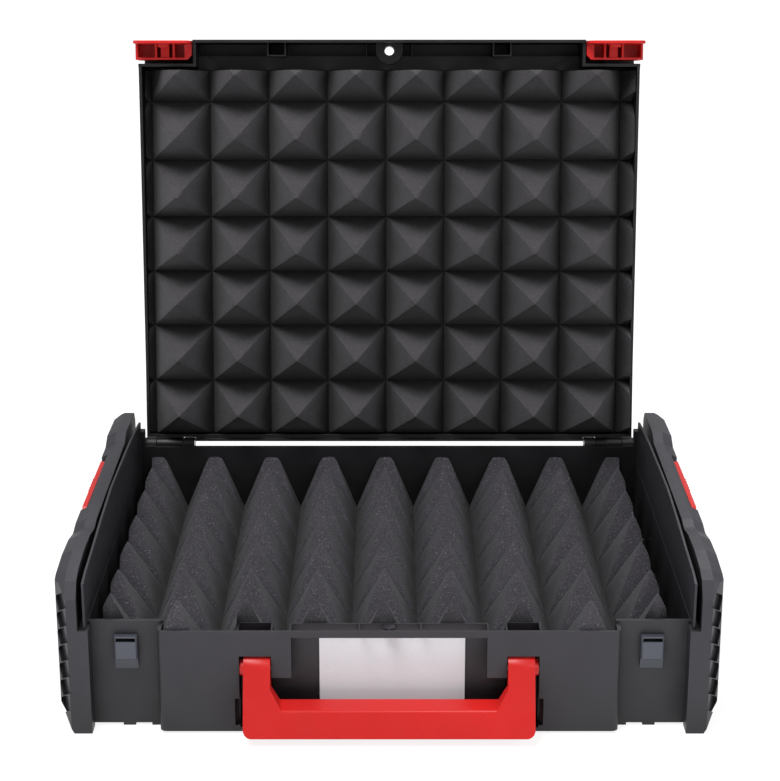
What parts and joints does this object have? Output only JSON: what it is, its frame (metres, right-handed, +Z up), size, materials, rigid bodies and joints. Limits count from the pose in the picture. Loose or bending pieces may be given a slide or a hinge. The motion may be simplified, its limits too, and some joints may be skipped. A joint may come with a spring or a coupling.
{
  "type": "tool case",
  "caption": "Hinged plastic tool case with side fenders, front latches, a drop handle, stacking locks and pyramid foam in tub and lid.",
  "frame": {"origin": "on the resting plane at the middle of the tub's footprint, on the centre pad of the underside", "axes": "+X to the right seen from the front, +Y to the rear (hinge side), +Z up"},
  "size_m": [0.48, 0.4618, 0.4514],
  "materials": {
    "shell": "fine-grained moulded dark grey",
    "fender": "fine-grained moulded blue-grey",
    "lid": "fine-grained moulded near black",
    "catch": "moulded grey",
    "red": "satin moulded red",
    "label": "bare white",
    "steel": "turned",
    "foam": "open-cell charcoal foam"
  },
  "bodies": {
    "base": {"base_shell": "shell", "fender_right": "fender", "fender_left": "fender", "fender_screws": "steel", "catch_right": "catch", "catch_left": "catch", "label_plate": "label", "foam_base": "foam", "handle_pins": "steel", "hinge_pin_right": "steel", "hinge_pin_left": "steel"},
    "handle": {"handle": "red"},
    "lock_right": {"side_lock_right": "red"},
    "lock_left": {"side_lock_left": "red"},
    "lid": {"lid_shell": "lid", "foam_lid": "foam", "latch_pin_right": "steel", "latch_pin_left": "steel"},
    "latch_right": {"latch_right": "red"},
    "latch_left": {"latch_left": "red"}
  },
  "joints": [
    {"name": "lid_hinge", "type": "hinge", "parent": "base", "child": "lid", "pos_m": [0, 0.171, 0.1025], "axis": [1, 0, 0], "range_deg": [0, 100]},
    {"name": "latch_right_hinge", "type": "hinge", "parent": "lid", "child": "latch_right", "pos_m": [0.189, 0.2498, 0.4371], "axis": [-1, 0, 0], "range_deg": [-4, 90]},
    {"name": "latch_left_hinge", "type": "hinge", "parent": "lid", "child": "latch_left", "pos_m": [-0.189, 0.2498, 0.4371], "axis": [-1, 0, 0], "range_deg": [-4, 90]},
    {"name": "handle_hinge", "type": "hinge", "parent": "base", "child": "handle", "pos_m": [0, -0.1735, 0.0505], "axis": [-1, 0, 0], "range_deg": [0, 75]},
    {"name": "lock_right_slide", "type": "slide", "parent": "base", "child": "lock_right", "axis": [0, 1, 0], "range_m": [0, 0.01]},
    {"name": "lock_left_slide", "type": "slide", "parent": "base", "child": "lock_left", "axis": [0, 1, 0], "range_m": [0, 0.01]}
  ]
}
